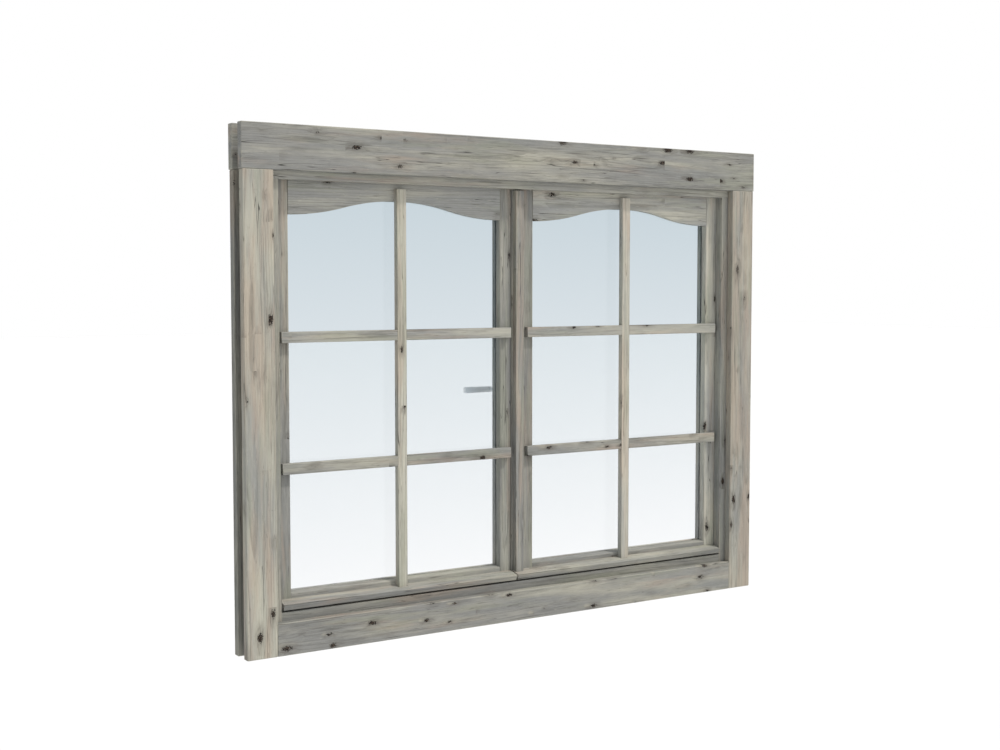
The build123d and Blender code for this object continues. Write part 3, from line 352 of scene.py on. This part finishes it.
# Shares of the tints that aren't patches, and of fibres in the wood's brightness.
LATE_SHARE = 0.28
THREAD_SHARE = 0.50
WORN_SHARE = 0.45
SMUDGE_SHARE = 0.80
HALO_SHARE = 0.30
TAIL_SHARE = 0.70
CHECK_SHARE = 0.75
FINE_SHADE = 0.68
STREAK_SHADE = 0.42

# Relief, as shares of the bump's depth, and roughness.
FINE_RISE = 0.40
STREAK_RISE = 0.45
LATE_RIDGE = 0.22
THREAD_DIP = -0.25
CHECK_DIP = -0.60
CORE_DIP = -0.45
WOOD_LEVEL = 0.5
WOOD_BUMP = 0.6
WOOD_DEPTH = 0.0005
WOOD_ROUGHNESS = 0.82
STREAK_ROUGHNESS = 0.25
WOOD_SPECULAR = 0.25


def knot_marks(g, q, amount):
    """Knots: stubs of branches across the board, in whorls, seen as rounds on its faces."""
    ragged = g.sway(q, KNOT_OUTLINE)
    broken = g.sway(q, KNOT_TORN)
    along, across, depth = g.split(q)
    cell = g.join(
        g.math("MULTIPLY_ADD", ragged, KNOT_WAVER[0], g.math("DIVIDE", along, KNOT_CELL[0])),
        g.math("MULTIPLY_ADD", ragged, KNOT_WAVER[1], g.math("DIVIDE", across, KNOT_CELL[1])),
        g.math("DIVIDE", depth, KNOT_CELL[2]),
    )
    nearest, second = [
        g.node("ShaderNodeTexVoronoi", voronoi_dimensions="3D", feature=feature)
        for feature in ("F1", "F2")
    ]
    for cells in (nearest, second):
        g.feed(cells.inputs["Vector"], cell)
        cells.inputs["Scale"].default_value = 1.0
    margin = g.math("SUBTRACT", second.outputs["Distance"], nearest.outputs["Distance"])
    chance, girth, tint = g.split(nearest.outputs["Color"])
    whorl = g.span(g.noise(g.join(along, 0.0, 0.0), WHORL), *WHORL_EDGE, *WHORL_CHANCE)
    likely = g.math("MULTIPLY", g.math("MULTIPLY", whorl, amount), KNOT_CHANCE)
    present = g.math("LESS_THAN", chance, likely)
    present = g.math("MULTIPLY", present, g.span(margin, *KNOT_APART))
    thick = g.math("POWER", girth, KNOT_THIN)
    radius = g.math("MULTIPLY_ADD", thick, KNOT_GROWTH, KNOT_RADIUS)
    reach = g.math("DIVIDE", nearest.outputs["Distance"], radius)
    torn = g.math("MULTIPLY_ADD", broken, KNOT_TEAR, reach)
    core = g.math("MULTIPLY", g.span(torn, *KNOT_RIM), present)
    halo = g.math("MULTIPLY", g.bell(reach, HALO_REACH), present)
    away, beside, under = [
        g.math("DIVIDE", part, radius)
        for part in g.split(g.vector("SUBTRACT", cell, nearest.outputs["Position"]))
    ]

    def mark(stain):
        """A stain's strength beside the nearest knot."""
        lengthwise = g.bell(g.math("SUBTRACT", away, stain.centre[0]), stain.reach[0])
        crosswise = g.bell(g.math("SUBTRACT", beside, stain.centre[1]), stain.reach[1])
        inwards = g.math("MULTIPLY", g.bell(under, stain.reach[2]), present)
        return g.math("MULTIPLY", g.math("MULTIPLY", lengthwise, crosswise), inwards)

    grainy = g.span(g.noise(q, SMUDGE_GRAIN), *SMUDGE_EDGE)
    smudge = g.math("MULTIPLY", mark(SMUDGE), grainy)
    tail = g.math("MULTIPLY", mark(TAIL), g.math("LESS_THAN", tint, TAIL_CHANCE))
    return core, halo, smudge, tail, broken


def late_wood(g, q, from_pith, halo):
    """Dark lines of growth rings round a pith beside the board, pushed aside by the knots."""
    _, across, depth = g.split(from_pith)
    ring = g.vector(
        "LENGTH",
        g.join(
            0.0,
            g.math("MULTIPLY_ADD", g.sway(q, RING_BEND), RING_BENT[0], across),
            g.math("MULTIPLY_ADD", g.sway(q, RING_BEND_IN), RING_BENT[1], depth),
        ),
    )
    ring = g.math("MULTIPLY_ADD", halo, RING_PUSH, ring)
    turns = g.math("FRACT", g.math("DIVIDE", ring, RING_WIDTH))
    late = g.math("MULTIPLY", g.span(turns, *LATE_RISE), g.span(turns, *LATE_FALL))
    return g.math("MULTIPLY", late, g.span(g.noise(q, LATE_PATCHES), *LATE_EDGE))


def grain_lines(g, place, pattern, width):
    """Thin lines along the grain, present only in patches."""
    gap = g.math("ABSOLUTE", g.sway(place, pattern))
    patch = g.span(g.noise(place, LINE_PATCHES), *LINE_EDGE)
    return g.math("MULTIPLY", g.span(gap, *width), patch)


def build_wood_group():
    """Node group: solid weathered pine, from coordinates along, across and into the board."""
    tree = bpy.data.node_groups.new("weathered_pine", "ShaderNodeTree")
    for way, name, kind in (
        ("INPUT", "Local", "NodeSocketVector"),
        ("INPUT", "Seed", "NodeSocketVector"),
        ("INPUT", "Pith", "NodeSocketVector"),
        ("INPUT", "Wear", "NodeSocketFloat"),
        ("INPUT", "Pale", "NodeSocketFloat"),
        ("INPUT", "Warm", "NodeSocketFloat"),
        ("INPUT", "Knots", "NodeSocketFloat"),
        ("INPUT", "ToneAndPaintedLight", "NodeSocketFloat"),
        ("OUTPUT", "Color", "NodeSocketColor"),
        ("OUTPUT", "Height", "NodeSocketFloat"),
        ("OUTPUT", "Roughness", "NodeSocketFloat"),
    ):
        tree.interface.new_socket(name, in_out=way, socket_type=kind)
    g = Graph(tree)
    given = g.node("NodeGroupInput").outputs
    result = g.node("NodeGroupOutput").inputs
    q = g.vector("ADD", given["Local"], given["Seed"])
    core, halo, smudge, tail, broken = knot_marks(g, q, given["Knots"])
    late = late_wood(g, q, g.vector("SUBTRACT", given["Local"], given["Pith"]), halo)
    fine = g.sway(q, FINE)
    streak = g.sway(q, STREAK)
    check = grain_lines(g, q, CHECK, CHECK_WIDTH)
    threads_place = g.vector("ADD", q, (THREAD_SHIFT, 0.0, 0.0))
    thread = grain_lines(g, threads_place, THREAD, THREAD_WIDTH)

    def patched(color, patch, more=0.0):
        """A colour with a patch's tint over it; more makes the patches wider."""
        amount = g.span(g.math("ADD", g.noise(q, patch.pattern), more), *patch.edge)
        return g.cover(color, amount, patch.share, patch.tint)

    wash = g.span(g.math("ADD", g.noise(q, WASH), given["Pale"]), *WASH_EDGE)
    color = patched(g.mix(wash, GREY, PALE), ROSY, given["Warm"])
    for patch in (MOSSY, COLD, DIRT):
        color = patched(color, patch)
    color = g.cover(color, late, LATE_SHARE, DARK)
    color = g.cover(color, thread, THREAD_SHARE, DARK)
    for patch in (SCUFF, SOOT):
        color = patched(color, patch)
    # the piece's tone: its brightness, which on some pieces is painted fill light or painted
    # shade
    shade = g.math("MULTIPLY_ADD", fine, FINE_SHADE, given["ToneAndPaintedLight"])
    shade = g.math("MULTIPLY_ADD", streak, STREAK_SHADE, shade)
    color = g.toned(color, shade)
    worn = g.math("MULTIPLY", given["Wear"], g.span(g.noise(q, WORN), *WORN_EDGE))
    for amount, share, tint in (
        (worn, WORN_SHARE, PALE),
        (smudge, SMUDGE_SHARE, HALO),
        (halo, HALO_SHARE, HALO),
        (tail, TAIL_SHARE, PALE),
        (check, CHECK_SHARE, CRACK),
    ):
        color = g.cover(color, amount, share, tint)
    heart = g.mix(g.span(broken, *HEART_EDGE), CORE, BARK)
    g.feed(result["Color"], g.mix(core, color, heart))

    height = WOOD_LEVEL
    for amount, rise in (
        (fine, FINE_RISE),
        (streak, STREAK_RISE),
        (late, LATE_RIDGE),
        (thread, THREAD_DIP),
        (check, CHECK_DIP),
        (core, CORE_DIP),
    ):
        height = g.math("MULTIPLY_ADD", amount, rise, height)
    g.feed(result["Height"], height)
    rough = g.math("MULTIPLY_ADD", streak, STREAK_ROUGHNESS, WOOD_ROUGHNESS)
    g.feed(result["Roughness"], rough)
    return tree


WOOD = build_wood_group()
WEAR_MARK = "wear"
SEED_RANGE = (2.0, 30.0)  # where in the endless wood a board is cut
PITH_ASIDE = 0.04  # the pith's place beside the board's middle, in metres
PITH_DEPTH = (0.045, 0.10)


def wood_material(name, grain, low, high, seed, pale=0.0, warm=0.0, knots=0.30, tone=1.0):
    """Weathered pine for one board. grain is the board's long axis, X or Z."""
    pick = random.Random(seed)
    material, g, shader = new_material(name)
    place = g.node("ShaderNodeTexCoord").outputs["Object"]
    middle = (low + high) / 2
    x, y, z = g.split(g.vector("SUBTRACT", place, tuple(middle)))
    local = g.join(x, z, y) if grain == "X" else g.join(z, x, y)
    group = g.node("ShaderNodeGroup", node_tree=WOOD)
    g.feed(group.inputs["Local"], local)
    group.inputs["Seed"].default_value = [pick.uniform(*SEED_RANGE) for _ in range(3)]
    group.inputs["Pith"].default_value = (
        0.0,
        pick.uniform(-PITH_ASIDE, PITH_ASIDE),
        pick.choice((-1, 1)) * pick.uniform(*PITH_DEPTH),
    )
    mark = g.node("ShaderNodeAttribute", attribute_name=WEAR_MARK)
    g.feed(group.inputs["Wear"], mark.outputs["Fac"])
    group.inputs["Pale"].default_value = pale
    group.inputs["Warm"].default_value = warm
    group.inputs["Knots"].default_value = knots
    # tone: the board's brightness; on pieces in shade it is painted fill light or painted shade
    group.inputs["ToneAndPaintedLight"].default_value = tone
    g.feed(shader.inputs["Base Color"], group.outputs["Color"])
    g.feed(shader.inputs["Roughness"], group.outputs["Roughness"])
    g.feed(shader.inputs["Normal"], g.bump(group.outputs["Height"], WOOD_BUMP, WOOD_DEPTH))
    shader.inputs["Specular IOR Level"].default_value = WOOD_SPECULAR
    return material


# ---------------------------------------------------------------- glass, metal, rubber
# The panes' change from head to sill is a painted reflection of a sky that is bluer overhead.
GLASS_LOW = (0.965, 0.972, 0.982, 1.0)  # share of light passed by each face, at the sill
GLASS_HIGH = (0.765, 0.818, 0.848, 1.0)  # and at the head
GLASS_GLOSS = 0.025  # share of the surface that mirrors
GLASS_ROUGHNESS = 0.02
MOTTLE_DETAIL = 4.0
MOTTLE_ROUGHNESS = 0.6
BRUSHED = Pattern((900, 900, 60))
METAL_TONE = 0.82
METAL_MOTTLE = 0.35  # what the mottling adds to the tone
METAL_POLISH = 0.16  # the smoothest spots are this much below the given roughness
MOTTLE_DULL = 0.22
BRUSH_DULL = 0.10
METAL_BUMP = 0.15
METAL_DEPTH = 0.0001
PORES = Pattern((700, 700, 700), 3.0, 0.6)
RUBBER_TONE = 0.7
PORE_TONE = 0.6
RUBBER_ROUGHNESS = 0.75
RUBBER_BUMP = 0.3
RUBBER_DEPTH = 0.0002


def glass_material(name, low, high):
    """Clear glass with a faint blue tint; the light it passes is bluer and darker towards the
    head, a painted reflection of a sky that is bluer overhead.
    """
    material, g, shader = new_material(name)
    tree = g.tree
    tree.nodes.remove(shader)
    _, _, z = g.split(g.node("ShaderNodeTexCoord").outputs["Object"])
    share = g.node("ShaderNodeMapRange")
    for socket, number in zip(share.inputs, (z, low.z, high.z, 0.0, 1.0)):
        g.feed(socket, number)
    clear = g.node("ShaderNodeBsdfTransparent")
    # painted reflection: the passed light goes from the sill's colour to the head's
    g.feed(clear.inputs["Color"], g.mix(share.outputs[0], GLASS_LOW, GLASS_HIGH))
    gloss = g.node("ShaderNodeBsdfGlossy")
    gloss.inputs["Roughness"].default_value = GLASS_ROUGHNESS
    blend = g.node("ShaderNodeMixShader")
    blend.inputs["Fac"].default_value = GLASS_GLOSS
    tree.links.new(clear.outputs[0], blend.inputs[1])
    tree.links.new(gloss.outputs[0], blend.inputs[2])
    tree.links.new(blend.outputs[0], tree.nodes["Material Output"].inputs["Surface"])
    return material


def metal_material(name, color, roughness, metallic=1.0, speckle=60.0):
    """Metal with slight mottling and brushed variation. speckle is the mottling's stretch."""
    material, g, shader = new_material(name)
    place = g.node("ShaderNodeTexCoord").outputs["Object"]
    mottling = Pattern((speckle, speckle, speckle), MOTTLE_DETAIL, MOTTLE_ROUGHNESS)
    mottle = g.noise(place, mottling)
    brush = g.noise(place, BRUSHED)
    tone = g.math("MULTIPLY_ADD", mottle, METAL_MOTTLE, METAL_TONE)
    g.feed(shader.inputs["Base Color"], g.toned(color, tone))
    shader.inputs["Metallic"].default_value = metallic
    dull = g.math("MULTIPLY_ADD", brush, BRUSH_DULL, roughness - METAL_POLISH)
    g.feed(shader.inputs["Roughness"], g.math("MULTIPLY_ADD", mottle, MOTTLE_DULL, dull))
    relief = g.math("ADD", mottle, brush)
    g.feed(shader.inputs["Normal"], g.bump(relief, METAL_BUMP, METAL_DEPTH))
    return material


def rubber_material(name, color):
    """Matt rubber or foam with fine pores."""
    material, g, shader = new_material(name)
    pores = g.noise(g.node("ShaderNodeTexCoord").outputs["Object"], PORES)
    tone = g.math("MULTIPLY_ADD", pores, PORE_TONE, RUBBER_TONE)
    g.feed(shader.inputs["Base Color"], g.toned(color, tone))
    shader.inputs["Roughness"].default_value = RUBBER_ROUGHNESS
    g.feed(shader.inputs["Normal"], g.bump(pores, RUBBER_BUMP, RUBBER_DEPTH))
    return material


# ---------------------------------------------------------------- eased pieces
ARRIS = 0.0009  # easing of the wood's arrises
BEAD_ARRIS = ARRIS / 2
METAL_ARRIS = 0.00025
SHORT_EDGE = 0.0025  # shorter edges, such as those round a screw hole, stay as they are
SHORT_METAL_EDGE = 0.0014
SHARP = math.radians(28.0)
COPLANAR = math.radians(0.6)
WELD = 1e-6  # points nearer than this are one


def weigh_normals(mesh):
    """Vertex normals follow the largest faces, so that flats stay flat beside their arrises."""
    normals = [Vector() for _ in mesh.vertices]
    for polygon in mesh.polygons:
        for index in polygon.vertices:
            normals[index] += polygon.normal * polygon.area
    mesh.normals_split_custom_set_from_vertices([n.normalized() for n in normals])


def eased_copy(node, width, shortest=SHORT_EDGE):
    """A piece with a CAD node's shape and rounded, marked arrises, which stands for the node."""
    mesh = nodes[node].data.copy()
    work = bmesh.new()
    work.from_mesh(mesh)
    bmesh.ops.remove_doubles(work, verts=work.verts, dist=WELD)
    bmesh.ops.dissolve_limit(work, angle_limit=COPLANAR, verts=work.verts, edges=work.edges)
    sharp = [
        e
        for e in work.edges
        if len(e.link_faces) == 2
        and e.calc_face_angle(0.0) > SHARP
        and e.calc_length() > shortest
    ]
    bmesh.ops.bevel(
        work,
        geom=sharp,
        offset=width,
        segments=2,
        affect="EDGES",
        profile=0.5,
        clamp_overlap=True,
    )
    bmesh.ops.dissolve_degenerate(work, edges=work.edges, dist=WELD)
    wear = work.loops.layers.float.new(WEAR_MARK)
    for face in work.faces:
        narrow = face.calc_area() < width * face.calc_perimeter() / 2
        for loop in face.loops:
            loop[wear] = 1.0 if narrow else 0.0
        face.smooth = True
    work.to_mesh(mesh)
    work.free()
    weigh_normals(mesh)
    mesh.materials.clear()
    piece = bpy.data.objects.new(f"{node}.eased", mesh)
    bpy.context.scene.collection.objects.link(piece)
    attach(piece, nodes[node]["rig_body"])
    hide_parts(node)
    return piece


GRAIN_X = (
    "frame_head",
    "frame_sill",
    "outer_board_top",
    "outer_board_bottom",
    "inner_board_top",
    "inner_board_bottom",
    "left_top_rail",
    "left_bottom_rail",
    "left_drip_bar",
    "left_bar_upper",
    "left_bar_lower",
    "right_top_rail",
    "right_bottom_rail",
    "right_drip_bar",
    "right_bar_upper",
    "right_bar_lower",
)
GRAIN_Z = (
    "frame_jamb_left",
    "frame_jamb_right",
    "outer_board_left",
    "outer_board_right",
    "inner_board_left",
    "inner_board_right",
    "left_hinge_stile",
    "left_meeting_stile",
    "left_bar_vertical",
    "right_hinge_stile",
    "right_meeting_stile",
    "right_bar_vertical",
    "astragal",
)
BEADS = ("left_glazing_beads", "right_glazing_beads")
WOOD_SEED = 100  # the boards' seeds count up from here
BEAD_SEED = 200
BEAD_LOOK = {"tone": 1.45, "knots": 0.1}
# pale and warm widen the pale and rosy patches, tone is the brightness and knots their number.
# On the pieces noted below, tone is also painted fill light or painted shade.
LOOKS = {
    "outer_board_left": {"pale": 0.09, "warm": 0.10, "tone": 1.14, "knots": 0.36},
    "outer_board_right": {"pale": 0.07, "warm": 0.15, "tone": 1.05, "knots": 0.40},
    "outer_board_top": {"pale": -0.08, "warm": -0.02, "tone": 1.01, "knots": 0.55},
    "outer_board_bottom": {"pale": -0.02, "warm": -0.02, "tone": 0.97, "knots": 0.75},
    "left_bar_vertical": {"pale": 0.08, "warm": 0.06, "tone": 1.28, "knots": 0.12},
    "right_bar_vertical": {"pale": 0.08, "warm": 0.04, "tone": 1.34, "knots": 0.12},
    "left_bar_upper": {"pale": -0.05, "tone": 1.18, "knots": 1.0},
    "left_bar_lower": {"pale": -0.05, "tone": 1.03, "knots": 1.2},
    "right_bar_upper": {"pale": -0.05, "tone": 1.14, "knots": 0.6},
    "right_bar_lower": {"pale": -0.05, "tone": 1.02, "knots": 1.2},
    # painted fill light: the top rails' tone lightens the shade the head and top board cast on
    # them
    "left_top_rail": {"pale": -0.09, "warm": -0.14, "tone": 1.37, "knots": 0.20},
    "right_top_rail": {"pale": -0.04, "warm": 0.0, "tone": 1.48, "knots": 0.15},
    "left_hinge_stile": {"pale": -0.05, "tone": 1.02, "knots": 0.45},
    # painted fill light: this tone lightens the key light's shadow from the right jamb and board
    "right_hinge_stile": {"tone": 1.42},
    "right_meeting_stile": {"tone": 0.91},
    "astragal": {"pale": -0.01, "warm": 0.13, "tone": 1.03, "knots": 0.15},
    # painted shade: this tone darkens the board where it is seen in the shaded slot between the
    # boards
    "inner_board_left": {"tone": 0.84},
    # painted fill light: the head's tone lightens the shade the top board casts on the head lip
    "frame_head": {"tone": 1.26, "knots": 0.15},
    # painted shade: the sill's tone darkens it as the drip bars' shadow would
    "frame_sill": {"pale": -0.06, "tone": 0.82, "knots": 0.10},
    "frame_jamb_left": {"knots": 0.12},
    # painted fill light: the right jamb's tone lightens the key light's shadow on the right side
    "frame_jamb_right": {"tone": 1.12, "knots": 0.12},
    "left_drip_bar": {"tone": 1.04},
    "right_drip_bar": {"tone": 1.04},
}


def dress_wood():
    for count, name in enumerate(GRAIN_X + GRAIN_Z):
        low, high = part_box(name)
        piece = eased_copy(name, ARRIS)
        grain = "X" if name in GRAIN_X else "Z"
        look = LOOKS.get(name, {})
        made = wood_material(f"{name}.pine", grain, low, high, WOOD_SEED + count, **look)
        piece.data.materials.append(made)


def dress_beads():
    """Four beads a leaf in one piece: upright ones with grain along Z, level ones along X."""
    for count, name in enumerate(BEADS):
        low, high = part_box(name)
        piece = eased_copy(name, BEAD_ARRIS)
        for grain in ("Z", "X"):
            title = f"{name}.{grain}.pine"
            made = wood_material(title, grain, low, high, BEAD_SEED + count, **BEAD_LOOK)
            piece.data.materials.append(made)
        for polygon in piece.data.polygons:
            middle = polygon.center
            from_side = min(middle.x - low.x, high.x - middle.x)
            from_end = min(middle.z - low.z, high.z - middle.z)
            polygon.material_index = 1 if from_end < from_side else 0


# ---------------------------------------------------------------- fittings
PLATES = (
    "hinge_frame_plates",
    "left_hinge_plates",
    "right_hinge_plates",
    "bolt_guides",
    "bolt_keeps",
    "rod_strikes",
)


def dress_fittings():
    zinc = metal_material("zinc", color=(0.46, 0.46, 0.45, 1.0), roughness=0.42)
    screw = metal_material("screw_zinc", color=(0.34, 0.33, 0.30, 1.0), roughness=0.36)
    steel = metal_material("lock_steel", color=(0.48, 0.48, 0.48, 1.0), roughness=0.35)
    satin = metal_material(
        "satin_aluminium",
        color=(0.85, 0.85, 0.85, 1.0),
        roughness=0.42,
        metallic=0.55,
        speckle=35.0,
    )
    seal = rubber_material("seal_rubber", color=(0.02, 0.02, 0.02, 1.0))
    foam = rubber_material("foam_tape", color=(0.34, 0.34, 0.33, 1.0))
    looks = {
        zinc: (
            "hinge_frame_plates",
            "hinge_pins",
            "left_hinge_plates",
            "right_hinge_plates",
            "bolt_guides",
            "bolt_keeps",
            "bolt_top",
            "bolt_bottom",
            "rod_strikes",
        ),
        screw: (
            "frame_corner_screws",
            "outer_board_screws",
            "inner_board_screws",
            "frame_hardware_screws",
            "left_leaf_screws",
            "right_leaf_screws",
        ),
        steel: (
            "espagnolette_case",
            "espagnolette_faceplate",
            "espagnolette_pinion",
            "rod_upper",
            "rod_lower",
            "handle_spindle",
        ),
        satin: ("handle_lever", "handle_rosette"),
        seal: ("weather_seal",),
        foam: ("left_glazing_tape", "right_glazing_tape"),
    }
    for material, names in looks.items():
        for name in names:
            eased = name in PLATES
            shown = eased_copy(name, METAL_ARRIS, SHORT_METAL_EDGE) if eased else nodes[name]
            shown.data.materials.clear()
            shown.data.materials.append(material)
    for name in ("left_pane", "right_pane"):
        low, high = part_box(name)
        mesh = nodes[name].data
        mesh.materials.clear()
        mesh.materials.append(glass_material(f"{name}.glass", low, high))


build_camera()
build_light()
build_floor()
dress_wood()
dress_beads()
dress_fittings()
